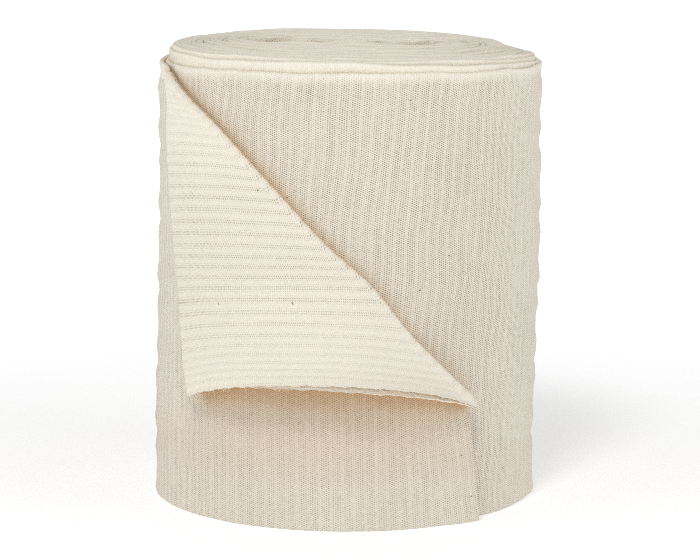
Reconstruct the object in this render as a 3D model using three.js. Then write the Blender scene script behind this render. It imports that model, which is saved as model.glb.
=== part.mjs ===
// Tubular compression bandage: a length of flat-knit cotton tube, flattened to two plies and wound up without a core.
// It stands on end. The last stretch of the tube lies loose on the front of the roll, its upper corner folded down.
// Millimetres, +Z up along the roll, the front of the roll towards -Y. Azimuths are in degrees from the front, positive to the right.
import * as THREE from 'three';

// ---- driving sizes -------------------------------------------------------
const PLY_PAIR = 1.8;              // the two plies of the flattened tube
const CLEAR = 0.3;                 // between the roll and the loose end on it
const TURN_PITCH = PLY_PAIR + CLEAR;
const STEP_AZ = -100;              // where the loose end leaves the roll
const STEP_RADIUS = 74.0;          // of the roll just past that place
const LEAN = 3.5;                  // how far the roll leans to the right, from its foot to its rim
const RIM_HEIGHT = 175;            // flat width of the tube
const CORE_HALF_WIDTH = 34;        // the first turns were folded flat, this far to each side
const CORE_DEPTH = 6;              // of the slit left between the first turns
const FOOT_ROUND = 1.0;            // rounded lower fold of the outer turn
const SHOULDER = 0.9;              // rounded upper fold of the outer turn
const COLUMNS_A_TURN = 72;
const WALL_LEVELS = [150, 124, 98, 72, 46, 20, FOOT_ROUND];

const LOOSE_TOP = 173.4;           // upper edge of the loose end, before its corner is folded
const LIP = 6;                     // strip along that edge that turns over first
const TURN_OVER = { from: -77, to: -61 };
const FOLD_GAP = 1.0;              // between the two layers at the fold
const FOLD_RADIUS = (PLY_PAIR + FOLD_GAP) / 2;
const CUT_SKEW = 3.0;              // degrees that the cut end's foot is further round than the fold
const ROWS = { strip: 9, bend: 6, flap: 12 };
const MOUTH = { fromRow: 1, toRow: 8, columns: 2, gap: 1.7 };   // the plies part along the cut edge

// Main turns of the roll, from the flat core outwards: radius at the start of the turn, height of its upper fold on each side, and the groove inside it.
const TURNS = [
  { radius: 2.4, left: 178.0, front: 178.6, right: 178.0, back: 178.0, groove: 3.0 },
  { radius: 12.0, left: 179.2, front: 179.6, right: 178.6, back: 178.6, groove: 2.4 },
  { radius: 23.0, left: 180.0, front: 180.2, right: 179.0, back: 179.2, groove: 2.2 },
  { radius: 34.5, left: 180.6, front: 180.6, right: 179.2, back: 179.4, groove: 2.0 },
  { radius: 46.0, left: 181.0, front: 181.0, right: 179.0, back: 179.8, groove: 2.0 },
  { radius: 57.5, left: 180.8, front: 181.0, right: 178.2, back: 179.6, groove: 1.8 },
  { radius: 68.4, left: 178.4, front: 179.4, right: 176.4, back: 178.4, groove: 1.6 },
  { radius: 71.9, left: 173.4, front: 175.6, right: 172.8, back: 174.6, groove: 1.2 },
  { radius: STEP_RADIUS, left: 173.4, front: 175.6, right: 172.8, back: 174.6, groove: 1.2 },
  { radius: STEP_RADIUS + TURN_PITCH, left: 173.4, front: 175.6, right: 172.8, back: 174.6, groove: 1.2 },
];

// Slow unevenness of the wound surface: lobes round it, waves up it, size, and where it starts.
const WAVES = [
  { lobes: 2, climb: 0.0, size: 0.30, start: 40 },
  { lobes: 3, climb: 0.6, size: 0.30, start: 110 },
  { lobes: 5, climb: 1.2, size: 0.20, start: 20 },
  { lobes: 1, climb: 1.6, size: 0.25, start: 75 },
];

// Folded corner of the loose end. Each row is one line of the knit: where it meets the diagonal fold, where it reaches the
// flap's left edge, how far it stands off the roll there and in its middle, and how far its middle bows up.
const FLAP = [
  { foldAz: -66.4, foldZ: 172.9, edgeAz: -67.0, edgeZ: 171.6, edgeOff: 0.2, belly: 0.2, bow: 0.2 },
  { foldAz: -53.8, foldZ: 163.8, edgeAz: -63.8, edgeZ: 162.5, edgeOff: 0.8, belly: 0.6, bow: 0.4 },
  { foldAz: -40.0, foldZ: 153.2, edgeAz: -63.4, edgeZ: 150.0, edgeOff: 1.5, belly: 1.2, bow: 0.8 },
  { foldAz: -21.9, foldZ: 132.1, edgeAz: -60.5, edgeZ: 127.1, edgeOff: 2.4, belly: 2.0, bow: 1.4 },
  { foldAz: -6.3, foldZ: 110.8, edgeAz: -57.3, edgeZ: 105.0, edgeOff: 2.8, belly: 2.8, bow: 2.0 },
  { foldAz: 6.3, foldZ: 95.4, edgeAz: -54.8, edgeZ: 88.3, edgeOff: 2.8, belly: 3.6, bow: 2.8 },
  { foldAz: 16.8, foldZ: 77.6, edgeAz: -52.8, edgeZ: 71.5, edgeOff: 2.6, belly: 5.0, bow: 4.6 },
  { foldAz: 25.1, foldZ: 66.0, edgeAz: -51.4, edgeZ: 60.5, edgeOff: 2.2, belly: 6.4, bow: 6.2 },
  { foldAz: 34.0, foldZ: 54.3, edgeAz: -50.2, edgeZ: 52.2, edgeOff: 1.8, belly: 8.0, bow: 8.4 },
  { foldAz: 40.4, foldZ: 46.6, edgeAz: -49.2, edgeZ: 47.4, edgeOff: 1.5, belly: 9.4, bow: 10.4 },
];
const CUT_AZ = FLAP[FLAP.length - 1].foldAz;

// ---- helpers -------------------------------------------------------------
const rad = THREE.MathUtils.degToRad;
const deg = THREE.MathUtils.radToDeg;
const mix = THREE.MathUtils.lerp;
const ease = THREE.MathUtils.smoothstep;

// A smooth value from a table column, through the rows in order of their key.
function along(table, key, column, at) {
  const last = table.length - 1;
  if (at <= table[0][key]) return table[0][column];
  if (at >= table[last][key]) return table[last][column];
  let i = 0;
  while (table[i + 1][key] < at) i++;
  const slope = (k) => {
    const a = table[Math.max(k - 1, 0)], b = table[Math.min(k + 1, last)];
    return (b[column] - a[column]) / (b[key] - a[key]);
  };
  const span = table[i + 1][key] - table[i][key], t = (at - table[i][key]) / span;
  const h = t * t * (3 - 2 * t);
  return mix(table[i][column], table[i + 1][column], h)
    + span * (t * (1 - t) ** 2 * slope(i) - t * t * (1 - t) * slope(i + 1));
}

const wave = (az, z) => WAVES.reduce(
  (sum, w) => sum + w.size * Math.sin(rad(w.lobes * az + w.climb * 360 * z / RIM_HEIGHT + w.start)), 0);
const leanAt = (z) => LEAN * (z / RIM_HEIGHT - 0.5);
const onRoll = (az, radius, z) => new THREE.Vector3(leanAt(z) + radius * Math.sin(rad(az)), -radius * Math.cos(rad(az)), z);
const wallRadius = (az, z) => STEP_RADIUS + TURN_PITCH * (az - STEP_AZ) / 360 + wave(az, z);

class Facets {
  constructor() { this.points = []; }
  tri(a, b, c) { this.points.push(a, b, c); }
  quad(a, b, c, d) { this.tri(a, b, c); this.tri(a, c, d); }
  fan(ring) { for (let i = 1; i + 1 < ring.length; i++) this.tri(ring[0], ring[i], ring[i + 1]); }
  geometry() {
    const g = new THREE.BufferGeometry().setFromPoints(this.points);
    g.computeVertexNormals();
    return g;
  }
}

// ---- the wound roll ------------------------------------------------------
const SPIRAL = TURNS.map((row, turn) => ({ turn, ...row }));
const SIDES = TURNS.map((row, turn) => ({ turn: turn + 0.5, ...row }));

function foldHeight(turns, az) {
  const side = (name) => along(SIDES, 'turn', name, turns);
  const f = side('front'), b = side('back'), l = side('left'), r = side('right');
  const c = Math.cos(rad(az)), s = Math.sin(rad(az)), mean = (f + b + l + r) / 4;
  return mean + (f - b) / 2 * c + (r - l) / 2 * s + (f + b - l - r) / 4 * Math.cos(2 * rad(az));
}

function woundPoint(az, radius, z) {
  const flat = CORE_HALF_WIDTH * Math.max(0, 1 - radius / STEP_RADIUS) ** 1.3;
  const r = radius + wave(az, z) * (radius / STEP_RADIUS) ** 3;
  return new THREE.Vector3(leanAt(z) + (r + flat) * Math.sin(rad(az)), -r * Math.cos(rad(az)), z);
}

function woundRoll() {
  const turns = TURNS.length - 2, M = COLUMNS_A_TURN, end = turns * M, start = end - M;
  const f = new Facets(), rows = [];
  for (let i = 0; i <= end; i++) {
    const t = i / M, az = STEP_AZ + 360 * t;
    const inner = along(SPIRAL, 'turn', 'radius', t), outer = along(SPIRAL, 'turn', 'radius', t + 1);
    const top = foldHeight(t, az), groove = along(SPIRAL, 'turn', 'groove', t);
    rows.push([
      woundPoint(az, inner, top - groove),
      woundPoint(az, mix(inner, outer, 0.34), top),
      woundPoint(az, mix(inner, outer, 0.72), top - 0.15),
    ]);
  }
  // outer wall, from the shoulder of the last turn down to the foot
  const wall = [];
  for (let i = start; i <= end; i++) {
    const az = STEP_AZ + 360 * (i - start) / M - (i === end ? 0.6 : 0);
    const top = foldHeight(i / M, az);
    const column = [top - SHOULDER, ...WALL_LEVELS].map((z) => onRoll(az, wallRadius(az, z), z));
    column.push(onRoll(az, wallRadius(az, 0) - FOOT_ROUND, 0));
    wall.push(column);
  }
  rows[end][0] = wall[0][0];

  for (let i = 0; i < end; i++) {
    const a = rows[i], b = rows[i + 1];
    f.quad(a[0], a[1], b[1], b[0]);
    f.quad(a[1], a[2], b[2], b[1]);
    if (i < start) f.quad(a[2], rows[i + M][0], rows[i + M + 1][0], b[2]);
    else f.quad(a[2], wall[i - start][0], wall[i - start + 1][0], b[2]);
  }
  // slit in the flat core
  const slit = new THREE.Vector3(leanAt(RIM_HEIGHT), 0, rows[0][0].z - CORE_DEPTH);
  for (let i = 0; i < M; i++) f.tri(slit, rows[i][0], rows[i + 1][0]);
  f.tri(slit, rows[M][0], rows[0][2]);
  f.tri(slit, rows[0][2], rows[0][1]);
  f.tri(slit, rows[0][1], rows[0][0]);
  // wall and foot
  const foot = new THREE.Vector3(leanAt(0), 0, 0), last = wall[0].length - 1;
  for (let j = 0; j < M; j++) {
    for (let k = 0; k < last; k++) f.quad(wall[j][k], wall[j][k + 1], wall[j + 1][k + 1], wall[j + 1][k]);
    f.tri(wall[j][last], foot, wall[j + 1][last]);
  }
  f.tri(wall[M][last], foot, wall[0][last]);
  // step where the loose end leaves the roll
  f.tri(rows[end][0], rows[end][1], rows[end][2]);
  f.tri(rows[end][0], rows[end][2], wall[M][0]);
  for (let k = 0; k < last; k++) f.quad(wall[0][k], wall[M][k], wall[M][k + 1], wall[0][k + 1]);
  return f.geometry();
}

// ---- the loose end -------------------------------------------------------
const midRadius = (az, z) => wallRadius(az, z) + CLEAR + PLY_PAIR / 2;

// One line of the knit, from the lower fold of the tube up over the diagonal fold to the flap's left edge.
function looseLine(az) {
  const rows = [], total = ROWS.strip + ROWS.bend + ROWS.flap;
  const turned = ease(az, TURN_OVER.from, TURN_OVER.to), at = (column) => along(FLAP, 'foldAz', column, az);
  const r = midRadius(az, 100), step = 0.5;
  const fall = (along(FLAP, 'foldAz', 'foldZ', az + step) - along(FLAP, 'foldAz', 'foldZ', az - step)) / (rad(2 * step) * r);
  const out = new THREE.Vector2(-fall, 1).normalize();      // across the fold, in the unrolled surface
  const back = FOLD_RADIUS + PLY_PAIR / 2;
  const foldAz = az - deg(out.x * back / r), foldZ = at('foldZ') - out.y * back;
  const skew = CUT_SKEW * Math.max(0, (az - STEP_AZ) / (CUT_AZ - STEP_AZ)) ** 2;
  for (let q = 0; q <= total; q++) {
    // unfolded: straight up the roll
    const straightTop = LOOSE_TOP - LIP;
    const upZ = q <= ROWS.strip ? straightTop * q / ROWS.strip : straightTop + LIP * (q - ROWS.strip) / (ROWS.bend + ROWS.flap);
    const up = onRoll(az, midRadius(az, upZ), upZ);
    // folded
    let down;
    if (q <= ROWS.strip) {
      const t = q / ROWS.strip, z = foldZ * t, a = mix(az + skew, foldAz, t);
      down = onRoll(a, midRadius(a, z), z);
    } else if (q <= ROWS.strip + ROWS.bend) {
      const b = Math.PI * (q - ROWS.strip) / ROWS.bend, reach = FOLD_RADIUS * Math.sin(b);
      const z = foldZ + out.y * reach, a = foldAz + deg(out.x * reach / r);
      down = onRoll(a, midRadius(a, z) + FOLD_RADIUS * (1 - Math.cos(b)), z);
    } else {
      const t = (q - ROWS.strip - ROWS.bend) / ROWS.flap;
      const z = mix(foldZ, at('edgeZ'), t) + at('bow') * 4 * t * (1 - t), a = mix(foldAz, at('edgeAz'), t);
      const off = at('belly') * Math.sin(Math.PI * t) ** 1.3 + at('edgeOff') * t * t;
      down = onRoll(a, midRadius(a, z) + 2 * FOLD_RADIUS + off, z);
    }
    rows.push(up.lerp(down, turned));
  }
  return rows;
}

function looseEnd() {
  const C = 34, from = STEP_AZ + 0.25, Q = ROWS.strip + ROWS.bend + ROWS.flap;
  const lines = [];
  for (let c = 0; c <= C; c++) lines.push(looseLine(mix(from, CUT_AZ, c / C)));
  // the plies part towards the cut edge
  const first = ROWS.strip + ROWS.bend + MOUTH.fromRow, lastRow = ROWS.strip + ROWS.bend + MOUTH.toRow;
  const parted = (c, q) => {
    const t = (q - first) / (lastRow - first), u = (c - C + MOUTH.columns) / MOUTH.columns;
    return t <= 0 || t >= 1 || u <= 0 ? 0 : MOUTH.gap * Math.sqrt(Math.sin(Math.PI * t)) * u;
  };
  const normal = (c, q) => {
    const a = lines[Math.min(c + 1, C)][q].clone().sub(lines[Math.max(c - 1, 0)][q]);
    const b = lines[c][Math.min(q + 1, Q)].clone().sub(lines[c][Math.max(q - 1, 0)]);
    return a.cross(b).normalize();
  };
  const face = (side, reach) => lines.map((line, c) => line.map((p, q) => p.clone().addScaledVector(normal(c, q), side * reach(c, q))));
  const ply = (c, q) => PLY_PAIR / 2 + parted(c, q) / 2, half = (c, q) => parted(c, q) / 2;
  const outer = face(1, ply), inner = face(-1, ply), upper = face(1, half), lower = face(-1, half);
  for (const side of [outer, inner]) for (const line of side) for (const p of line) p.z = Math.max(p.z, 0);

  const f = new Facets();
  for (let c = 0; c < C; c++) {
    for (let q = 0; q < Q; q++) {
      f.quad(outer[c][q], outer[c + 1][q], outer[c + 1][q + 1], outer[c][q + 1]);
      f.quad(inner[c][q], inner[c][q + 1], inner[c + 1][q + 1], inner[c + 1][q]);
    }
    f.quad(inner[c][0], inner[c + 1][0], outer[c + 1][0], outer[c][0]);
    f.quad(outer[c][Q], outer[c + 1][Q], inner[c + 1][Q], inner[c][Q]);
  }
  for (let q = 0; q < Q; q++) {
    f.quad(inner[0][q], outer[0][q], outer[0][q + 1], inner[0][q + 1]);
    // cut edge: closed, or two lips with the mouth of the tube between them
    if (q >= first && q < lastRow) {
      f.quad(outer[C][q], upper[C][q], upper[C][q + 1], outer[C][q + 1]);
      f.quad(lower[C][q], inner[C][q], inner[C][q + 1], lower[C][q + 1]);
      for (let c = C - MOUTH.columns; c < C; c++) {
        f.quad(upper[c][q], upper[c][q + 1], upper[c + 1][q + 1], upper[c + 1][q]);
        f.quad(lower[c][q], lower[c + 1][q], lower[c + 1][q + 1], lower[c][q + 1]);
      }
    } else {
      f.fan(q === lastRow
        ? [inner[C][q + 1], outer[C][q + 1], outer[C][q], upper[C][q], inner[C][q]]
        : [outer[C][q], inner[C][q], inner[C][q + 1], ...(q + 1 === first ? [upper[C][q + 1]] : []), outer[C][q + 1]]);
    }
  }
  return f.geometry();
}

// ---- the part ------------------------------------------------------------
const cloth = new THREE.MeshStandardMaterial({ name: 'unbleached_knit', color: 0xe6dfcf, roughness: 0.95, metalness: 0 });
const clothLoose = cloth.clone();
clothLoose.name = 'unbleached_knit_loose';

const part = new THREE.Group();
part.name = 'tubular_bandage_roll';
for (const [name, geometry, material] of [['wound_roll', woundRoll(), cloth], ['loose_end', looseEnd(), clothLoose]]) {
  const mesh = new THREE.Mesh(geometry, material);
  mesh.name = name;
  part.add(mesh);
}
// the frame's origin is the middle of the object's box, on the floor
const box = new THREE.Box3().setFromObject(part), middle = box.getCenter(new THREE.Vector3());
part.position.set(-middle.x, -middle.y, -box.min.z);

export default part;
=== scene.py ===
"""A coreless roll of flat-knit tube bandage, standing on end, its loose end folded down across the front.

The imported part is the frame. Three meshes carry the looks: the wound turns, the outer turn and the loose end.
Sizes are in millimetres and turned into metres when a mesh is made. Azimuths are degrees from the front (-Y), positive to the right.
"""
import math

import bpy
import numpy as np
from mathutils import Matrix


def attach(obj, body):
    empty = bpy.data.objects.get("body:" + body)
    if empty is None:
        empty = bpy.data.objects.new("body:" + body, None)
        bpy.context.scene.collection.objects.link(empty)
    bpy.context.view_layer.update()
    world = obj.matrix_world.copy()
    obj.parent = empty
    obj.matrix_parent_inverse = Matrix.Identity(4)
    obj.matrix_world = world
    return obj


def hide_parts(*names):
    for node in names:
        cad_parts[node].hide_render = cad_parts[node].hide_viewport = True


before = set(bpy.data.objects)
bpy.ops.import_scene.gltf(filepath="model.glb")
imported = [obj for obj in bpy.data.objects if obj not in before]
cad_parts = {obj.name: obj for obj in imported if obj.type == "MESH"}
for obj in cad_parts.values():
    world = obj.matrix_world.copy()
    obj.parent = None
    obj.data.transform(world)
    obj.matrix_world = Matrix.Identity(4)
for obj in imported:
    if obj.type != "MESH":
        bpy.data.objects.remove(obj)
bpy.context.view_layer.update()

# ---- sizes shared with the part's source ------------------------------------------------
AXIS_X, AXIS_Y = 0.4573, 6.7610     # the roll's middle in the frame
PLY_PAIR = 1.8
CLEAR = 0.3
TURN_PITCH = PLY_PAIR + CLEAR
STEP_AZ = -100.0
STEP_RADIUS = 74.0
LEAN = 3.5
RIM_HEIGHT = 175.0
LOOSE_TOP = 173.4
LIP = 6.0
TURN_OVER = (-77.0, -61.0)
CUT_SKEW = 3.0
WAVES = [  # lobes round, waves up, size, start
    (2, 0.0, 0.30, 40.0),
    (3, 0.6, 0.30, 110.0),
    (5, 1.2, 0.20, 20.0),
    (1, 1.6, 0.25, 75.0),
]
RIM = dict(left=173.4, front=175.6, right=172.8, back=174.6)

# ---- the knit -----------------------------------------------------------------------------
RIB_PITCH = 4.3          # one light rib, then four open lines
RIB_HEIGHT = 0.07
COLUMN = RIB_PITCH / 6   # mesh columns follow the ribs
OUTER_COLUMNS = 654      # a whole turn
TURN_LENGTH = OUTER_COLUMNS * COLUMN
LOOSE_COLUMNS = 262

# camera of the photograph, worked out from the roll's outline
CAM_BACK, CAM_UP, CAM_AIM, CAM_FOCAL, CAM_SIDE = 1368.46, 321.57, 84.25, 3470.6, 0.42

# Heights of the upper folds by radius: left, front, right, back.
FOLD_HEIGHTS = [
    (0.0, 178.6, 178.8, 178.2, 178.2),
    (15.0, 179.8, 180.0, 179.0, 179.0),
    (30.0, 180.5, 180.6, 179.2, 179.3),
    (45.0, 180.7, 181.0, 178.4, 179.0),
    (60.0, 180.4, 180.9, 177.7, 178.6),
    (68.0, 179.8, 180.5, 176.6, 178.1),
    (70.5, 178.5, 179.8, 175.5, 177.5),
    (72.5, 176.3, 178.7, 174.2, 176.4),
]
WOUND_TURNS = 29
CORE_HALF = 31.0
CORE_Y = 1.0
COLUMNS_A_TURN = 112
# Gaps left between the first turns: middle along the core, half length, half opening.
CORE_GAPS = [(-30.0, 7.0, 2.2), (-13.0, 5.5, 4.2), (10.0, 4.2, 3.2), (24.0, 8.0, 4.4)]

# One row for each line of the knit on the folded corner: where it meets the fold, and where it reaches the left edge.
FLAP = np.array([
    # foldAz  foldZ  edgeAz  edgeZ  edgeOff  belly   bow
    (-66.4, 172.9, -66.6, 171.6, 0.2, 0.2, 0.2),
    (-53.8, 163.8, -63.6, 162.5, 0.6, 0.6, 0.4),
    (-40.0, 153.2, -63.4, 150.0, 1.0, 1.2, 0.8),
    (-21.9, 132.1, -60.7, 127.1, 1.6, 2.0, 1.4),
    (-6.3, 110.8, -57.5, 105.0, 2.0, 2.8, 2.0),
    (6.3, 95.4, -55.0, 88.3, 2.2, 3.6, 2.8),
    (16.8, 77.6, -53.2, 71.5, 2.2, 5.0, 5.4),
    (25.1, 66.0, -52.0, 60.5, 2.0, 6.4, 7.8),
    (34.0, 54.6, -51.2, 52.2, 1.8, 8.0, 10.0),
    (38.2, 49.7, -50.6, 47.4, 1.5, 9.4, 11.8),
])
FOLD_SEEN_AT, EDGE_SEEN_AT = 78.3, 79.8   # radii at which those places were read
CUT_AZ = FLAP[-1, 0]
MOUTH_GAP = 1.9

rng = np.random.default_rng(3402)


# ---- helpers ---------------------------------------------------------------------------------
def along(keys, values, at):
    """A smooth curve through table rows."""
    keys, values, at = np.asarray(keys, float), np.asarray(values, float), np.asarray(at, float)
    n = len(keys)
    slope = np.empty(n)
    slope[1:-1] = (values[2:] - values[:-2]) / (keys[2:] - keys[:-2])
    slope[0] = (values[1] - values[0]) / (keys[1] - keys[0])
    slope[-1] = (values[-1] - values[-2]) / (keys[-1] - keys[-2])
    i = np.clip(np.searchsorted(keys, at) - 1, 0, n - 2)
    span = keys[i + 1] - keys[i]
    t = np.clip((at - keys[i]) / span, 0, 1)
    h = t * t * (3 - 2 * t)
    return values[i] + (values[i + 1] - values[i]) * h + span * (t * (1 - t) ** 2 * slope[i] - t * t * (1 - t) * slope[i + 1])


def ease(x, low, high):
    t = np.clip((x - low) / (high - low), 0, 1)
    return t * t * (3 - 2 * t)


def ripples(seed, count, shortest, longest):
    r = np.random.default_rng(seed)
    wave_length = np.exp(r.uniform(math.log(shortest), math.log(longest), count))
    turn = r.uniform(0, 2 * math.pi, count)
    size = wave_length ** 0.5
    return (2 * math.pi / wave_length * np.cos(turn), 2 * math.pi / wave_length * np.sin(turn), size / np.sqrt((size**2).sum() / 2), r.uniform(0, 2 * math.pi, count))


def ripple(rows, a, b):
    """Smooth unevenness over two coordinates, about 1 in size."""
    a, b = np.broadcast_arrays(np.asarray(a, float), np.asarray(b, float))
    out = np.zeros(a.shape)
    for ka, kb, size, start in zip(*rows):
        out += size * np.sin(ka * a + kb * b + start)
    return out


SLOW = ripples(5, 14, 22, 70)
FINE = ripples(8, 16, 7, 18)
PLUMP = ripples(13, 12, 12, 40)


def wave(az, z):
    out = 0
    for lobes, climb, size, start in WAVES:
        out = out + size * np.sin(np.radians(lobes * az + climb * 360 * z / RIM_HEIGHT + start))
    return out


def lean_at(z):
    return LEAN * (z / RIM_HEIGHT - 0.5)


def wall_radius(az, z):
    return STEP_RADIUS + TURN_PITCH * (az - STEP_AZ) / 360 + wave(az, z)


def on_roll(az, radius, z):
    a = np.radians(az)
    x, y, z = np.broadcast_arrays(lean_at(z) + radius * np.sin(a), -radius * np.cos(a), z)
    return np.stack([x, y, z], -1)


def side_mean(left, front, right, back, az):
    c, s = np.cos(np.radians(az)), np.sin(np.radians(az))
    return (left + front + right + back) / 4 + (front - back) / 2 * c + (right - left) / 2 * s + (front + back - left - right) / 4 * np.cos(2 * np.radians(az))


def slide_to(az, z, seen_at, radius):
    """The point on another radius that the photograph's camera sees in the same place."""
    p = on_roll(az, seen_at, z)
    cam = np.array([0.0, -CAM_BACK, CAM_UP])
    ray = p - cam
    s = np.ones(np.shape(az))
    for _ in range(12):
        q = cam + s[..., None] * ray
        x, y = q[..., 0] - lean_at(q[..., 2]), q[..., 1]
        r = np.hypot(x, y)
        grow = (x * ray[..., 0] + y * ray[..., 1]) / r
        s = s - np.clip((r - radius) / np.minimum(grow, -30.0), -0.01, 0.01)
    q = cam + s[..., None] * ray
    x, y = q[..., 0] - lean_at(q[..., 2]), q[..., 1]
    return np.degrees(np.arctan2(x, -y)), q[..., 2]


def rib(u, v, seed=0.0):
    """Raised ribs over the knit's two coordinates, in millimetres."""
    near = (u / RIB_PITCH + 0.5) % 1 - 0.5
    index = np.round(u / RIB_PITCH)
    own = 0.8 + 0.35 * np.sin(index * 12.9898 + seed) * np.sin(index * 4.137)
    return RIB_HEIGHT * own * np.exp(-((near * RIB_PITCH / 0.62) ** 2)) * (1 + 0.25 * np.sin(v / 9.0 + index * 2.4))


class Cloth:
    """Collects grids of points into one mesh, with the knit's own coordinates on every point."""

    def __init__(self):
        self.points, self.knit, self.open, self.quads, self.caps, self.n = [], [], [], [], [], 0

    def grid(self, points, u, v, opened):
        shape = points.shape[:2]
        index = np.arange(shape[0] * shape[1]).reshape(shape) + self.n
        self.points.append(points.reshape(-1, 3))
        self.knit.append(np.stack([np.broadcast_to(u, shape), np.broadcast_to(v, shape)], -1).reshape(-1, 2))
        self.open.append(np.broadcast_to(opened, shape).reshape(-1).astype(float))
        self.n += index.size
        return index

    def skin(self, index, flip=False):
        a, b, c, d = index[:-1, :-1], index[1:, :-1], index[1:, 1:], index[:-1, 1:]
        q = np.stack([a, b, c, d], -1).reshape(-1, 4)
        self.quads.append(q[:, ::-1] if flip else q)

    def thread(self, path, radius, u, v):
        along_path = np.gradient(path, axis=0)
        along_path /= np.linalg.norm(along_path, axis=1, keepdims=True)
        side = np.cross(along_path, [0.31, 0.52, 0.79])
        side /= np.linalg.norm(side, axis=1, keepdims=True)
        other = np.cross(along_path, side)
        turn = np.radians([0, 90, 180, 270])
        thin = radius * np.linspace(1.0, 0.55, len(path))[:, None, None]
        ring = path[:, None] + thin * (side[:, None] * np.cos(turn)[None, :, None] + other[:, None] * np.sin(turn)[None, :, None])
        index = self.grid(ring, u, v, 0.1)
        self.skin(np.concatenate([index, index[:, :1]], 1))
        self.caps += [index[0], index[-1][::-1]]

    def make(self, name, material, sharp=60):
        points = np.concatenate(self.points)
        points = (points + [AXIS_X, AXIS_Y, 0]) / 1000
        quads = np.concatenate(self.quads)
        corners = np.concatenate([quads.ravel()] + self.caps)
        starts = np.concatenate([np.arange(0, quads.size, 4), quads.size + np.cumsum([0] + [len(c) for c in self.caps])[:-1]])
        mesh = bpy.data.meshes.new(name)
        mesh.vertices.add(len(points))
        mesh.vertices.foreach_set("co", points.astype(np.float32).ravel())
        mesh.loops.add(len(corners))
        mesh.loops.foreach_set("vertex_index", corners.astype(np.int32))
        mesh.polygons.add(len(starts))
        mesh.polygons.foreach_set("loop_start", starts.astype(np.int32))
        mesh.update(calc_edges=True)
        mesh.validate()
        layer = mesh.uv_layers.new(name="knit")
        loops = np.empty(len(mesh.loops), np.int32)
        mesh.loops.foreach_get("vertex_index", loops)
        layer.data.foreach_set("uv", (np.concatenate(self.knit)[loops] / 100).astype(np.float32).ravel())
        attribute = mesh.attributes.new("stretch_and_painted_light", "FLOAT", "POINT")
        attribute.data.foreach_set("value", np.concatenate(self.open).astype(np.float32))
        mesh.shade_smooth()
        mesh.set_sharp_from_angle(angle=math.radians(sharp))
        mesh.materials.append(material)
        piece = bpy.data.objects.new(name, mesh)
        bpy.context.collection.objects.link(piece)
        return piece


# ---- materials -----------------------------------------------------------------------------------
class Net:
    def __init__(self, tree):
        self.tree = tree
        tree.nodes.clear()

    def put(self, socket, value):
        if hasattr(value, "is_output"):
            self.tree.links.new(value, socket)
        else:
            socket.default_value = value

    def math(self, op, a, b=0.0, c=0.0, clamp=False):
        n = self.tree.nodes.new("ShaderNodeMath")
        n.operation, n.use_clamp = op, clamp
        for socket, value in zip(n.inputs, (a, b, c)):
            self.put(socket, value)
        return n.outputs[0]

    def vector(self, x, y, z=0.0):
        n = self.tree.nodes.new("ShaderNodeCombineXYZ")
        for socket, value in zip(n.inputs, (x, y, z)):
            self.put(socket, value)
        return n.outputs[0]

    def noise(self, x, y, z=0.0, detail=2.0, rough=0.55):
        n = self.tree.nodes.new("ShaderNodeTexNoise")
        n.noise_dimensions = "3D"
        self.put(n.inputs["Vector"], self.vector(x, y, z))
        n.inputs["Scale"].default_value = 1.0
        n.inputs["Detail"].default_value = detail
        n.inputs["Roughness"].default_value = rough
        return n.outputs["Fac"]

    def chance(self, x, y=0.0):
        n = self.tree.nodes.new("ShaderNodeTexWhiteNoise")
        n.noise_dimensions = "2D"
        self.put(n.inputs["Vector"], self.vector(x, y))
        return n.outputs["Value"]

    def mix(self, share, a, b):
        n = self.tree.nodes.new("ShaderNodeMix")
        n.data_type = "RGBA"
        self.put(n.inputs[0], share)
        for socket, value in zip((n.inputs[6], n.inputs[7]), (a, b)):
            self.put(socket, (*value, 1.0) if isinstance(value, tuple) else value)
        return n.outputs[2]

    def bell(self, x, width):
        """exp(-(x / width) squared)"""
        q = self.math("DIVIDE", x, width)
        return self.math("EXPONENT", self.math("MULTIPLY", self.math("MULTIPLY", q, q), -1.0))


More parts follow.
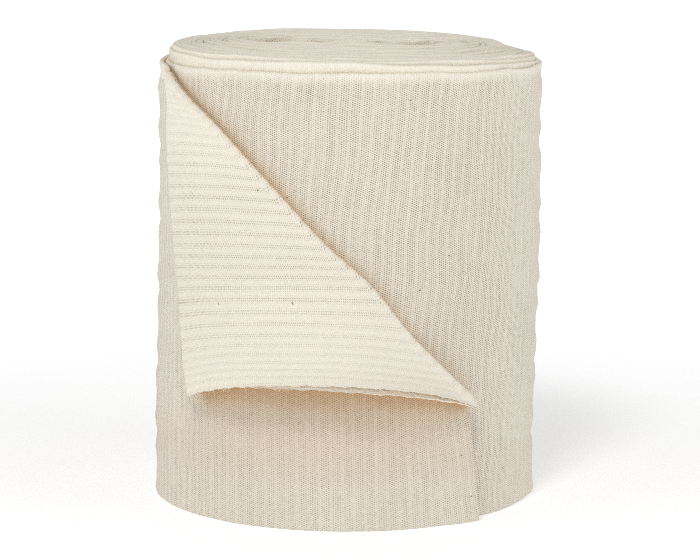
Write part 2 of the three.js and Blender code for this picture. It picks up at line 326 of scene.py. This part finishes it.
def knit_material(name, light, hole_colour, rib_colour, depth=1.0, seed=0.0, lined=0.0, painted_shade_tint=(1.0, 0.91, 0.79), painted_shade_depth=1.8, painted_shade_reach=0.028, painted_shade_least=0.0, painted_shade_from=0.004, glow=0.11, ribbed=0.8, calm=0.10):
    material = bpy.data.materials.new(name)
    material.use_nodes = True
    net = Net(material.node_tree)
    nodes = material.node_tree.nodes
    uv = nodes.new("ShaderNodeUVMap")
    uv.uv_map = "knit"
    split = nodes.new("ShaderNodeSeparateXYZ")
    net.put(split.inputs[0], uv.outputs[0])
    u0 = net.math("MULTIPLY", split.outputs[0], 100.0)
    v0 = net.math("MULTIPLY", split.outputs[1], 100.0)
    stretch_and_painted_light = nodes.new("ShaderNodeAttribute")
    stretch_and_painted_light.attribute_name = "stretch_and_painted_light"
    opened = stretch_and_painted_light.outputs["Fac"]
    u_seed = net.math("ADD", u0, seed * 37.0)

    # the lines of the knit wander a little
    drift = net.math("SUBTRACT", net.noise(net.math("MULTIPLY", u_seed, 0.05), net.math("MULTIPLY", v0, 0.03), 1.7), 0.5)
    drift2 = net.math("SUBTRACT", net.noise(net.math("MULTIPLY", u_seed, 0.30), net.math("MULTIPLY", v0, 0.22), 7.1), 0.5)
    u = net.math("ADD", u0, net.math("ADD", net.math("MULTIPLY", drift, 0.55), net.math("MULTIPLY", drift2, 0.22)))
    drift3 = net.math("SUBTRACT", net.noise(net.math("MULTIPLY", u_seed, 0.12), net.math("MULTIPLY", v0, 0.10), 3.3), 0.5)
    v = net.math("ADD", v0, net.math("MULTIPLY", drift3, 1.6))

    # five lines to a rib: the first is the covered elastic, the other four are open
    line = net.math("DIVIDE", u, RIB_PITCH / 5)
    index = net.math("FLOOR", net.math("ADD", line, 0.5))
    across = net.math("MULTIPLY", net.math("SUBTRACT", line, index), RIB_PITCH / 5)
    place = net.math("FRACT", net.math("ADD", net.math("DIVIDE", index, 5.0), 0.01))
    is_rib = net.math("LESS_THAN", place, 0.15)
    not_rib = net.math("SUBTRACT", 1.0, is_rib)
    middle = net.bell(net.math("SUBTRACT", place, 0.51), 0.16)     # the middle ones are the most open

    # loops up each line, staggered from line to line
    own = net.chance(index, seed)
    loop = net.math("ADD", net.math("DIVIDE", v, 0.83), net.math("ADD", net.math("MULTIPLY", index, 0.50), net.math("MULTIPLY", own, 0.12)))
    loop_index = net.math("FLOOR", loop)
    beat = net.math("SUBTRACT", net.math("FRACT", loop), 0.5)
    hole = net.math("MULTIPLY", net.bell(across, 0.26), net.bell(beat, 0.27))
    each = net.chance(index, loop_index)
    patch = net.noise(net.math("MULTIPLY", u_seed, 0.16), net.math("MULTIPLY", v0, 0.07), 5.5, 3.0, 0.6)
    line_tone = net.noise(net.math("MULTIPLY", index, 0.77), net.math("MULTIPLY", v0, 0.025), 9.0, 1.0)
    strength = net.math("MULTIPLY", net.math("ADD", 0.55, net.math("MULTIPLY", each, 0.40)), net.math("ADD", 0.32, net.math("MULTIPLY", patch, 0.50)))
    strength = net.math("MULTIPLY", strength, net.math("ADD", 0.60, net.math("MULTIPLY", line_tone, 0.8)))
    strength = net.math("MULTIPLY", strength, net.math("ADD", net.math("MULTIPLY", not_rib, net.math("ADD", 0.42 * ribbed, net.math("MULTIPLY", middle, 0.12))), 0.98 - 0.42 * ribbed))
    smooth = net.math("MULTIPLY", net.math("SUBTRACT", 1.0, opened), 1.7 * lined, clamp=True)
    single = net.math("ADD", 0.60, net.math("MULTIPLY", net.bell(net.math("SUBTRACT", place, 0.51), 0.17), 1.15))
    strength = net.math("MULTIPLY", strength, net.math("ADD", net.math("SUBTRACT", 1.0, smooth), net.math("MULTIPLY", smooth, single)))
    dark = net.math("MULTIPLY", net.math("MULTIPLY", hole, strength), net.math("MULTIPLY", opened, net.math("ADD", 2.7 * depth * (1 - calm), net.math("MULTIPLY", smooth, 2.7 * depth * calm))), clamp=True)

    # furrows between the loops, and the rib's own light yarn
    furrow = net.math("SUBTRACT", 1.0, net.bell(across, 0.42))
    shade = net.math("MULTIPLY", net.math("ADD", net.math("MULTIPLY", furrow, 0.05), 0.15), opened)
    rib_share = net.math("MULTIPLY", net.math("MULTIPLY", is_rib, net.bell(across, 0.36)), net.math("ADD", 0.35, net.math("MULTIPLY", patch, 0.65)))
    tone = net.noise(net.math("MULTIPLY", u_seed, 0.035), net.math("MULTIPLY", v0, 0.035), 2.2, 3.0)
    base = net.mix(tone, tuple(c * 0.955 for c in light), tuple(min(1.0, c * 1.035) for c in light))
    slub = net.math("SUBTRACT", net.noise(net.math("MULTIPLY", u_seed, 0.035), net.math("MULTIPLY", v0, 0.75), 6.6, 2.0), 0.62)
    slub = net.math("MULTIPLY", slub, 3.0, clamp=True)
    base = net.mix(net.math("MULTIPLY", rib_share, 0.50 * ribbed), base, rib_colour)
    base = net.mix(net.math("MULTIPLY", slub, 0.30), base, tuple(a * 0.7 + b * 0.3 for a, b in zip(light, hole_colour)))
    base = net.mix(shade, base, hole_colour)
    base = net.mix(dark, base, hole_colour)
    # here and there a dark fleck of seed
    fleck = net.math("GREATER_THAN", net.chance(net.math("ADD", index, 0.3), net.math("ADD", loop_index, 0.7)), 0.99965)
    base = net.mix(net.math("MULTIPLY", net.math("MULTIPLY", fleck, net.bell(beat, 0.35)), 0.75), base, (0.10, 0.075, 0.05))

    # painted warm shade: narrow gaps, creases and the cloth under the flap are darkened and warmed by how closely other
    # surfaces crowd them (an occlusion measure), standing in for shadow and for the warm light that has come through
    # the thin cloth
    near = nodes.new("ShaderNodeAmbientOcclusion")
    near.samples = 8
    near.inputs["Distance"].default_value = painted_shade_reach
    where = nodes.new("ShaderNodeNewGeometry")
    level = nodes.new("ShaderNodeSeparateXYZ")
    net.put(level.inputs[0], where.outputs["Position"])
    # the painted shade is kept off the cloth close to the floor, and is strongest where the holes are open
    clear = net.math("MULTIPLY", net.math("SUBTRACT", level.outputs[2], painted_shade_from), 40.0, clamp=True)
    painted_shade = net.math("MULTIPLY", net.math("POWER", net.math("SUBTRACT", 1.0 - painted_shade_least, near.outputs["AO"], clamp=True), 1.1), painted_shade_depth, clamp=True)
    painted_shade = net.math("MULTIPLY", painted_shade, net.math("MULTIPLY", clear, net.math("ADD", 0.15, net.math("MULTIPLY", opened, 0.85))))
    tint = nodes.new("ShaderNodeMix")
    tint.data_type, tint.blend_type = "RGBA", "MULTIPLY"
    net.put(tint.inputs[0], painted_shade)
    net.put(tint.inputs[6], base)
    tint.inputs[7].default_value = (*painted_shade_tint, 1.0)
    base = tint.outputs[2]

    yarn = net.math("MULTIPLY", net.math("COSINE", net.math("MULTIPLY", beat, 2 * math.pi)), -0.5)
    twist = net.noise(net.math("MULTIPLY", u_seed, 2.4), net.math("MULTIPLY", v0, 3.1), 4.4, 2.0)
    height = net.math("ADD", net.math("MULTIPLY", dark, -0.9), net.math("ADD", net.math("MULTIPLY", yarn, 0.22), net.math("MULTIPLY", twist, 0.35)))
    height = net.math("ADD", height, net.math("MULTIPLY", rib_share, 0.25))
    height = net.math("MULTIPLY", height, net.math("ADD", 0.30, net.math("MULTIPLY", opened, 0.70)))
    bump = nodes.new("ShaderNodeBump")
    bump.inputs["Strength"].default_value = 0.5
    bump.inputs["Distance"].default_value = 0.00028
    net.put(bump.inputs["Height"], height)

    shader = nodes.new("ShaderNodeBsdfPrincipled")
    net.put(shader.inputs["Base Color"], base)
    net.put(shader.inputs["Roughness"], net.math("SUBTRACT", 0.96, net.math("MULTIPLY", tone, 0.10)))
    net.put(shader.inputs["Normal"], bump.outputs[0])
    shader.inputs["Specular IOR Level"].default_value = 0.18
    # a painted warm glow: the deepest of those gaps give off light of their own, though the cloth is no lamp
    shader.inputs["Emission Color"].default_value = (1.0, 0.87, 0.70, 1.0)
    net.put(shader.inputs["Emission Strength"], net.math("MULTIPLY", net.math("POWER", painted_shade, 3.0), glow))
    shader.inputs["Sheen Weight"].default_value = 0.02
    shader.inputs["Sheen Roughness"].default_value = 0.6
    out = nodes.new("ShaderNodeOutputMaterial")
    net.put(out.inputs["Surface"], shader.outputs[0])
    return material


CREAM, TAN, PALE = (0.865, 0.815, 0.708), (0.33, 0.28, 0.205), (0.90, 0.87, 0.79)
wound_knit = knit_material("wound_knit", CREAM, TAN, PALE, 1.0, 1.0)
# on the loose end the painted warm shade reaches further and is deeper, for the shadow under the flap, and its painted
# glow is weaker
loose_knit = knit_material("loose_knit", CREAM, TAN, PALE, 1.0, 2.0, 1.0, painted_shade_tint=(0.87, 0.61, 0.38), painted_shade_depth=3.8, painted_shade_reach=0.048, painted_shade_least=0.05, painted_shade_from=0.016, glow=0.05, ribbed=0.75, calm=0.36)


# ---- the wound turns ---------------------------------------------------------------------------
def wound_turns():
    n = WOUND_TURNS * COLUMNS_A_TURN
    turn = np.arange(n + 1) / COLUMNS_A_TURN
    az = STEP_AZ + 360 * turn
    a = np.radians(az)
    share = turn / WOUND_TURNS
    last = STEP_RADIUS - 0.4
    loosen = 0.35 * np.sin(turn * 1.9 + 0.6) + 0.25 * np.sin(turn * 4.3)
    ry = CORE_Y + (last - CORE_Y) * share + loosen * 0.8 * np.sin(np.pi * share)
    rx = CORE_HALF + (last - CORE_HALF) * share + loosen * 0.3 * np.sin(np.pi * share)
    kink = ripple(ripples(21, 10, 0.9, 3.5), az / 60, turn * 0.8) * 0.28 * np.sin(np.pi * np.clip(share, 0, 1)) ** 0.6
    x, y = (rx + kink) * np.sin(a), -(ry + kink) * np.cos(a)
    tip, gape = np.zeros_like(x), np.zeros_like(x)
    for middle, half, opening in CORE_GAPS:
        push = opening * np.exp(-(((x - middle) / half) ** 2)) * np.exp(-np.abs(y) / 9.0)
        y = y + np.sign(y) * push
        tip = tip + np.where(y < 0, -1.7, 0.2) * push / opening
        gape = np.maximum(gape, push / opening * np.exp(-np.maximum(0, np.abs(y) - opening - 2.2)))
    y = y + 12.0 * (1 - share) ** 1.2
    wavy = wave(az, 170.0) * share**3
    x, y = x + wavy * np.sin(a), y - wavy * np.cos(a)

    radius = np.hypot(x * last / np.maximum(rx, 1), y) * 0 + ry
    rows = np.array(FOLD_HEIGHTS)
    top = side_mean(*[np.interp(radius, rows[:, 0], rows[:, k]) for k in (1, 2, 3, 4)], az)
    each = np.random.default_rng(77).normal(0, 1, WOUND_TURNS + 3)
    top = top + 0.30 * np.interp(turn, np.arange(WOUND_TURNS + 3), each) * np.minimum(1, 3 * (1 - share) + 0.2)
    top = top + 0.25 * ripple(PLUMP, az * 0.6, turn * 5.0) + tip
    # a dip near the core on the right, and a crease that runs from it to the back right
    top = top - 1.9 * np.exp(-(((x - 23.0) / 7.0) ** 2) - (((y - 8.0) / 12.0) ** 2))
    swing = (az + 180) % 360 - 180
    crease = 38 + (66 - 38) * (swing - 88) / 34
    top = top - 1.3 * ease(radius, crease - 1.2, crease + 1.2) * ease(swing, 70, 92) * (1 - ease(swing, 124, 140))

    # plan normals, and how much room a turn has
    tx, ty = np.gradient(x), np.gradient(y)
    length = np.hypot(tx, ty)
    nx, ny = ty / length, -tx / length
    pitch_y, pitch_x = (last - CORE_Y) / WOUND_TURNS, (last - CORE_HALF) / WOUND_TURNS
    room = 0.5 * np.hypot(pitch_x * nx, pitch_y * ny)
    bulb, ply = room * 1.05, np.minimum(0.85, room * 0.9)

    tilt = np.radians(np.linspace(-90, 90, 9))
    floor_tilt = np.radians(np.linspace(90, 270, 5))
    off, z, v = [], [], []
    for t in tilt:
        off.append(bulb * np.sin(t))
        z.append(top - bulb * (0.85 - 0.5 * nx * nx) * (1 - np.cos(t)))
        v.append(RIM_HEIGHT + t * 1.0)
    for k, level in ((1, 7.0), (1, 90.0)):
        off.append(ply)
        z.append(top - level)
        v.append(RIM_HEIGHT + level)
    for t in floor_tilt:
        off.append(ply * np.sin(t))
        z.append(0.35 + ply * (1 + np.cos(t)))
        v.append(RIM_HEIGHT * 2 + t)
    for level in (90.0, 7.0):
        off.append(-ply)
        z.append(top - level)
        v.append(RIM_HEIGHT - level)
    off, z = np.stack(off, 1), np.stack(z, 1)
    px = x[:, None] + nx[:, None] * off + lean_at(z)
    py = y[:, None] + ny[:, None] * off
    points = np.stack([px, py, z], -1)
    u = np.concatenate([[0], np.cumsum(np.hypot(np.diff(x), np.diff(y)))])
    v = np.broadcast_to(np.stack([np.zeros(n + 1) + k for k in v], 1), off.shape)
    cloth = Cloth()
    # The top folds get small holes and the walls below middling ones. Where the turns near the core gape apart the
    # holes are drawn at full strength, so the slits read darker and take the painted warm shade and glow: painted shade
    # in the slits.
    index = cloth.grid(points, u[:, None], v, np.where(np.arange(off.shape[1])[None, :] < 9, 0.12 + 0.9 * np.clip(1.4 * gape[:, None], 0, 1), 0.6))
    cloth.skin(np.concatenate([index, index[:, :1]], 1))
    cloth.caps += [index[0], index[-1][::-1]]
    return cloth.make("wound_turns", wound_knit), u[-1]


# ---- the outer turn -------------------------------------------------------------------------------
def outer_unevenness(azimuth, z):
    """Unevenness of the outside, over an azimuth that runs on from the outer turn to the loose end."""
    arc = np.radians(azimuth) * 75
    # soft bulges up both sides
    aside = ease(np.abs((azimuth + 180) % 360 - 180), 55, 85)
    bulge = 0.15 + 0.34 * np.sin(2 * math.pi * z / 14.5 + 0.8) + 0.20 * np.sin(2 * math.pi * z / 9.7 + 2.0)
    return 0.22 * ripple(SLOW, arc, z * 1.0) + 0.07 * ripple(FINE, arc, z) + aside * bulge


def rim_height(az):
    return side_mean(RIM["left"], RIM["front"], RIM["right"], RIM["back"], az) + 0.18 * ripple(PLUMP, np.radians(az) * 75, 0.0)


def outer_turn():
    c = np.arange(OUTER_COLUMNS + 1)
    u = (c * COLUMN)[:, None]
    az0 = STEP_AZ + 360 * (c / OUTER_COLUMNS)[:, None]
    ends = ease(az0, STEP_AZ, STEP_AZ + 30) * (1 - ease(az0, 225, 260))
    skew = math.tan(math.radians(3.4)) * (0.55 + 0.45 * np.cos(np.radians(az0 - 25))) * ends
    top = rim_height(az0) * 1.0
    half = PLY_PAIR / 2
    rows = 46
    t = np.linspace(0, 1, rows + 1)[None, :]
    z = 1.0 + (top - half - 1.0) * t
    wander = 0.35 * ripple(SLOW, u * 0.7 + 40, z * 0.9) * ends
    az = az0 + np.degrees((skew * (z - 87) + wander) / 74.5)
    r = wall_radius(az, z) + outer_unevenness(az, z)
    ribs = rib(u, z)
    face = on_roll(az, r + ribs, z)
    v = z
    # rounded upper fold, the hidden inside, and the rounded lower fold
    az_top, r_top = az[:, -1:], r[:, -1:] - half
    turn = np.radians(np.linspace(0, 180, 9))[None, 1:]
    full = half + ribs[:, -1:]
    fold_z = (top - half) + full * 1.05 * np.sin(turn)
    fold_z = np.where(turn > math.pi / 2, np.maximum(fold_z, top - 0.35 * half), fold_z)
    fold = on_roll(az_top + 0 * turn, r_top + full * np.cos(turn), fold_z)
    inside_z = np.concatenate([top - k for k in (8.0, 60.0, 120.0)] + [np.full_like(top, 6.0)], 1)
    inside = on_roll(az0 + 0 * inside_z, wall_radius(az0, inside_z) - PLY_PAIR, inside_z)
    low = np.radians(np.linspace(180, 360, 6))[None, 1:-1]
    r_low = r[:, :1] - half
    foot = on_roll(az[:, :1] + 0 * low, r_low + half * np.cos(low), 1.0 + 0.85 * np.sin(low))
    points = np.concatenate([face, fold, inside, foot], 1)
    vs = np.concatenate([v, top + half * turn, RIM_HEIGHT + 3 + 0 * inside_z + np.cumsum(np.ones_like(inside_z), 1) * 30, 0 * u - half * (2 * math.pi - low)], 1)
    cloth = Cloth()
    # the cloth is drawn tightest over the front, so its holes are widest there; low on the sides the holes are drawn
    # smaller still, so the cloth is paler there: painted light standing in for light bounced up from the floor
    aside = ease(np.abs((az + 180) % 360 - 180), 35, 75)
    tightness_and_painted_light = (1 - 0.30 * aside) * (1 - 0.18 * aside * (1 - ease(z, 25, 75)))
    near_rim = np.concatenate([tightness_and_painted_light * (1 - 0.75 * ease(z, top - 3.5, top - 0.9)), 0.25 + 0 * fold[..., 0], 1 + 0 * inside_z, 1 + 0 * foot[..., 0]], 1)
    index = cloth.grid(points, u, vs, near_rim)
    cloth.skin(np.concatenate([index, index[:, :1]], 1))
    cloth.caps += [index[0], index[-1][::-1]]
    return cloth.make("outer_turn", wound_knit)


# ---- the loose end ------------------------------------------------------------------------------------
STRIP, BEND, CORNER = 50, 14, 70


def loose_end():
    c = np.arange(LOOSE_COLUMNS + 1)
    az = (STEP_AZ + (CUT_AZ - STEP_AZ) * c / LOOSE_COLUMNS)[:, None]
    u = (TURN_LENGTH + c * COLUMN)[:, None]
    at = lambda k: along(FLAP[:, 0], FLAP[:, k], az)
    turned = ease(az, *TURN_OVER)
    fold_radius = 1.05 + 0.25 * np.exp(-(((az + 40) / 20) ** 2)) + 2.0 * ease(az, 12, 38)
    lift = 0.5 * np.exp(-(((az + 50) / 17) ** 2)) + 0.9 * ease(az, CUT_AZ - 12, CUT_AZ)
    edge_lift = 2.4 * ease(az, CUT_AZ - 16, CUT_AZ)

    def ride(a, z):
        """Middle of the sheet where it lies on the roll."""
        join = ease(a, STEP_AZ, STEP_AZ + 22)
        own = outer_unevenness(a + 360, z)
        below = outer_unevenness(a, z) + 0.25
        return wall_radius(a, z) + CLEAR + PLY_PAIR / 2 + own * (1 - join) + (0.75 * below + 0.25 * own) * join

    step = 0.5
    fold_z = at(1)
    fall = (along(FLAP[:, 0], FLAP[:, 1], az + step) - along(FLAP[:, 0], FLAP[:, 1], az - step)) / (math.radians(2 * step) * 78)
    out_s, out_z = -fall / np.hypot(fall, 1), 1 / np.hypot(fall, 1)
    seen = ride(az, fold_z) + lift + fold_radius
    fold_az, fold_z = slide_to(az, fold_z, FOLD_SEEN_AT, seen)
    back = fold_radius + PLY_PAIR / 2
    fold_az, fold_z = fold_az - np.degrees(out_s * back / 77), fold_z - out_z * back
    edge_r = ride(at(2), at(3)) + lift + 2 * fold_radius + at(4)
    edge_az, edge_z = slide_to(at(2), at(3), EDGE_SEEN_AT, edge_r)

    half = PLY_PAIR / 2
    base = half + 0.05
    skew = CUT_SKEW * ((az - STEP_AZ) / (CUT_AZ - STEP_AZ)) ** 2
    # straight up the roll, for the part that isn't folded
    q = np.arange(STRIP + BEND + CORNER + 1)[None, :]
    straight = LOOSE_TOP - half - LIP
    up_z = np.where(q <= STRIP, base + (straight - base) * q / STRIP, straight + LIP * (q - STRIP) / (BEND + CORNER))
    up = on_roll(az + 0 * up_z, ride(az, up_z), up_z)
    # on the roll up to the fold
    t = np.linspace(0, 1, STRIP + 1)[None, :]
    z = base + (fold_z - base) * t
    a = az + skew * (1 - t) ** 1.0 + (fold_az - az) * t
    strip = on_roll(a, ride(a, z) + edge_lift + (lift - edge_lift) * t**5, z)
    # round the fold
    b = math.pi * np.arange(1, BEND + 1)[None, :] / BEND
    reach = fold_radius * np.sin(b)
    z = fold_z + out_z * reach
    a = fold_az + np.degrees(out_s * reach / 77)
    bend = on_roll(a, ride(a, z) + lift + fold_radius * (1 - np.cos(b)), z)
    # and back over the front
    t = np.arange(1, CORNER + 1)[None, :] / CORNER
    z = fold_z + (edge_z - fold_z) * t + at(6) * 4 * t * (1 - t)
    a = fold_az + (edge_az - fold_az) * t
    off = at(5) * np.sin(np.pi * t) ** 1.3 + at(4) * t * t + lift * (1 - t) ** 2
    off = off + 0.28 * ripple(SLOW, z * 0.9, a * 1.1) * np.sin(np.pi * np.clip(t * 1.1, 0, 1)) * ease(az, -60, -20)
    corner = on_roll(a, ride(a, z) + 2 * fold_radius + off, z)
    down = np.concatenate([strip, bend, corner], 1)
    mid = up + (down - up) * turned[..., None]

    # the knit's width coordinate is the length along each line
    step_v = np.linalg.norm(np.diff(mid, axis=1), axis=2)
    v = np.concatenate([np.zeros_like(az), np.cumsum(step_v, 1)], 1)
    tq, tc = np.gradient(mid, axis=1), np.gradient(mid, axis=0)
    normal = np.cross(tc, tq)
    normal /= np.linalg.norm(normal, axis=2, keepdims=True)
    for _ in range(2):
        normal[1:-1] = (normal[:-2] + 2 * normal[1:-1] + normal[2:]) / 4
        normal /= np.linalg.norm(normal, axis=2, keepdims=True)

    # the plies part towards the cut edge, most of all along the flap
    first, last = 3, STRIP + BEND + CORNER - 3
    rows = np.arange(mid.shape[1])[None, :]
    along_flap = np.clip((rows - STRIP - BEND) / CORNER, 0, 1)
    open_here = 0.12 + (MOUTH_GAP - 0.12) * np.sin(np.pi * np.clip(along_flap / 0.80, 0, 1)) ** 0.7
    open_here = open_here * ease(rows, first, first + 5) * (1 - ease(rows, last - 6, last))
    depth = 16
    inward = np.clip((c[:, None] - LOOSE_COLUMNS + depth) / depth, 0, 1)
    gap = open_here * inward**1.6

    ribs_out, ribs_in = rib(u, v, 1.0), rib(u + 0.0, v, 2.0)
    ragged = 0.22 * ripple(ripples(31, 14, 1.2, 6.0), v, 3.0)
    edge = np.clip((c[:, None] - LOOSE_COLUMNS + 2) / 2, 0, 1)
    shift = (tc / np.linalg.norm(tc, axis=2, keepdims=True)) * (ragged * edge)[..., None]
    along_edge = np.sin(np.pi * np.clip((along_flap - 0.05) / 0.70, 0, 1)) ** 0.7
    run_on = 3.0 * along_edge * np.clip((c[:, None] - LOOSE_COLUMNS + 7) / 7, 0, 1)
    tail = (tc / np.linalg.norm(tc, axis=2, keepdims=True)) * run_on[..., None]
    face = lambda reach: mid + normal * reach[..., None] + shift
    outer, inner = face(half + gap / 2 + ribs_out) + tail, face(-(half + gap / 2 + ribs_in))
    upper, lower = face(gap / 2) + tail, face(-gap / 2)
    on_flap = 0.15 + 0.33 * ease(az, -50, -15) - 0.24 * ease(az, 0, 28)
    opened = np.where(rows <= STRIP + BEND // 2, 1 - 0.22 * ease(-az, 35, 70), on_flap)

    cloth = Cloth()
    # rounded tube folds along both edges
    arc = np.radians(np.linspace(0, 180, 7))[1:-1]
    end_t = tq[:, -1] / np.linalg.norm(tq[:, -1], axis=1, keepdims=True)
    start_t = -tq[:, 0] / np.linalg.norm(tq[:, 0], axis=1, keepdims=True)
    full = lambda k: (np.linalg.norm(outer[:, k] - inner[:, k], axis=1) / 2)[:, None, None]
    mids = lambda k: ((outer[:, k] + inner[:, k]) / 2)[:, None]
    far = mids(-1) + full(-1) * (normal[:, -1][:, None] * np.cos(arc)[None, :, None] + end_t[:, None] * np.sin(arc)[None, :, None])
    near = mids(0) + full(0) * (normal[:, 0][:, None] * np.cos(arc)[None, :, None] + start_t[:, None] * np.sin(arc)[None, :, None])
    points = np.concatenate([outer, far, inner[:, ::-1], near[:, ::-1]], 1)
    points[..., 2] = np.maximum(points[..., 2], 0.05)
    v_all = np.concatenate([v, v[:, -1:] + half * arc[None, :], 2 * v[:, -1:] + math.pi * half - v[:, ::-1], -half * arc[None, ::-1] + 0 * u], 1)
    opened_all = np.concatenate([opened, opened[:, -1:] + 0 * arc[None, :], opened[:, ::-1], opened[:, :1] + 0 * arc[None, :]], 1)
    index = cloth.grid(points, u, v_all, opened_all)
    cloth.skin(np.concatenate([index, index[:, :1]], 1))
    cloth.caps += [index[0]]
    nq = mid.shape[1]
    io, ii = index[:, :nq], index[:, nq + len(arc):2 * nq + len(arc)][:, ::-1]
    # the mouth: each ply's raw edge, and the two walls between them
    keep = slice(LOOSE_COLUMNS - depth, LOOSE_COLUMNS + 1)
    up_i = cloth.grid(upper[keep, first:last + 1], u[keep], v[keep, first:last + 1], 0.25)
    lo_i = cloth.grid(lower[keep, first:last + 1], u[keep], v[keep, first:last + 1], 0.25)
    lo_i[0], lo_i[:, 0], lo_i[:, -1] = up_i[0], up_i[:, 0], up_i[:, -1]
    cloth.skin(up_i, flip=True)
    cloth.skin(lo_i)
    cloth.skin(np.stack([io[-1, first:last + 1], up_i[-1]]))
    cloth.skin(np.stack([lo_i[-1], ii[-1, first:last + 1]]))
    for rows_end in (slice(0, first + 1), slice(last, nq)):
        cloth.skin(np.stack([io[-1, rows_end], ii[-1, rows_end]]))
    # cut yarn ends along the raw edge, with a small tuft at the flap's lower left corner
    pick = np.random.default_rng(611)
    way = tc[-1] / np.linalg.norm(tc[-1], axis=1, keepdims=True)
    for k in range(150):
        row = int(pick.integers(2, nq - 2))
        start = (outer if pick.random() < 0.5 else inner)[-1, row] * 0.5 + mid[-1, row] * 0.5
        length = pick.uniform(0.6, 1.7)
        heading = way[row] + pick.normal(0, 0.35, 3)
        t = np.linspace(0, 1, 5)[:, None]
        path = start + heading * length * t + np.array([0, 0, -0.35]) * length * t * t - way[row] * 0.3
        path[:, 2] = np.maximum(path[:, 2], 0.15)
        cloth.thread(path, 0.10, u[-1, 0], v[-1, row])
    for k in range(7):
        start = mid[-1, nq - 2] + pick.normal(0, 0.5, 3)
        heading = np.array([pick.uniform(0.5, 1.0), -0.25 + pick.normal(0, 0.1), -pick.uniform(0.35, 0.8)])
        length = pick.uniform(2.2, 4.8)
        t = np.linspace(0, 1, 6)[:, None]
        path = start + heading * length * t + np.array([0.5, 0.1, 0.25]) * t * t * pick.uniform(-1.5, 1.5)
        cloth.thread(path, 0.13, u[-1, 0], v[-1, -1])
    # fine yarn loops along the lower fold
    for k in range(110):
        column = int(pick.integers(LOOSE_COLUMNS // 4, LOOSE_COLUMNS - 1))
        beside = tc[column, 0] / np.linalg.norm(tc[column, 0])
        heading = 0.8 * normal[column, 0] + beside * pick.normal(0, 0.5) + np.array([0, 0, -0.45])
        t = np.linspace(0, 1, 5)[:, None]
        path = outer[column, 0] - 0.2 * normal[column, 0] + heading * pick.uniform(0.6, 1.4) * t
        path[:, 2] = np.maximum(path[:, 2], 0.15)
        cloth.thread(path, 0.10, u[column, 0], v[column, 0])
    return cloth.make("loose_end_cloth", loose_knit)


turns, wound_length = wound_turns()
outer = outer_turn()
loose = loose_end()
for piece, node, slot in ((turns, "wound_roll", "wound_knit"), (outer, "wound_roll", "wound_knit"), (loose, "loose_end", "loose_knit")):
    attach(piece, "root")
    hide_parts(node)

# ---- floor, light and camera ---------------------------------------------------------------------------
bpy.ops.mesh.primitive_plane_add(size=12, location=(0, 2.0, -0.0001))
floor = bpy.context.object
floor.name = "floor"
paint = bpy.data.materials.new("floor_white")
paint.use_nodes = True
shader = paint.node_tree.nodes["Principled BSDF"]
shader.inputs["Base Color"].default_value = (0.93, 0.93, 0.93, 1)
shader.inputs["Roughness"].default_value = 0.7
shader.inputs["Specular IOR Level"].default_value = 0.1
shader.inputs["Emission Color"].default_value = (1, 1, 1, 1)
# the floor runs out into white
floor_net = paint.node_tree
spot = floor_net.nodes.new("ShaderNodeNewGeometry")
reach = floor_net.nodes.new("ShaderNodeVectorMath")
reach.operation = "LENGTH"
floor_net.links.new(spot.outputs["Position"], reach.inputs[0])
glow = floor_net.nodes.new("ShaderNodeMapRange")
glow.interpolation_type = "SMOOTHSTEP"
for name, value in (("From Min", 0.10), ("From Max", 0.75), ("To Min", 0.30), ("To Max", 0.62)):
    glow.inputs[name].default_value = value
floor_net.links.new(reach.outputs["Value"], glow.inputs["Value"])
floor_net.links.new(glow.outputs["Result"], shader.inputs["Emission Strength"])
floor.data.materials.append(paint)

world = bpy.data.worlds.new("studio")
bpy.context.scene.world = world
world.use_nodes = True
net = Net(world.node_tree)
sky = world.node_tree.nodes.new("ShaderNodeBackground")
sky.inputs["Color"].default_value = (1, 1, 1, 1)
path = world.node_tree.nodes.new("ShaderNodeLightPath")
net.put(sky.inputs["Strength"], net.math("ADD", 0.43, net.math("MULTIPLY", path.outputs["Is Camera Ray"], 0.60)))
end = world.node_tree.nodes.new("ShaderNodeOutputWorld")
net.put(end.inputs["Surface"], sky.outputs[0])


def area_light(name, place, aim, size, watts, colour=(1, 1, 1)):
    data = bpy.data.lights.new(name, "AREA")
    data.shape, data.size, data.energy, data.color = "DISK", size, watts, colour
    light = bpy.data.objects.new(name, data)
    bpy.context.collection.objects.link(light)
    light.location = place
    direction = np.array(aim) - np.array(place)
    from mathutils import Vector
    light.rotation_euler = Vector(direction).to_track_quat("-Z", "Y").to_euler()
    return light


area_light("key", (-0.30, -1.20, 1.66), (0, 0, 0.09), 0.5, 10.9)
area_light("fill_right", (1.30, -0.75, 0.60), (0, 0, 0.05), 1.0, 4.8)
area_light("fill_left", (-1.30, -0.75, 0.60), (0, 0, 0.05), 1.0, 3.9)

camera_data = bpy.data.cameras.new("photo_camera")
camera = bpy.data.objects.new("photo_camera", camera_data)
bpy.context.collection.objects.link(camera)
camera_data.sensor_fit = "HORIZONTAL"
camera_data.sensor_width = 36.0
camera_data.lens = CAM_FOCAL * 36.0 / 700.0
side = (AXIS_X + CAM_SIDE) / 1000
camera.location = (side, (AXIS_Y - CAM_BACK) / 1000, CAM_UP / 1000)
pitch = math.atan2(CAM_UP - CAM_AIM, CAM_BACK)
camera.rotation_euler = (math.pi / 2 - pitch, 0, 0)
camera_data.clip_start, camera_data.clip_end = 0.05, 60
bpy.context.scene.camera = camera
bpy.context.scene.view_settings.view_transform = "Standard"
bpy.context.scene.view_settings.look = "None"
bpy.context.scene.cycles.filter_width = 0.9
bpy.context.scene.cycles.use_denoising = False   # it would smooth the stitches away
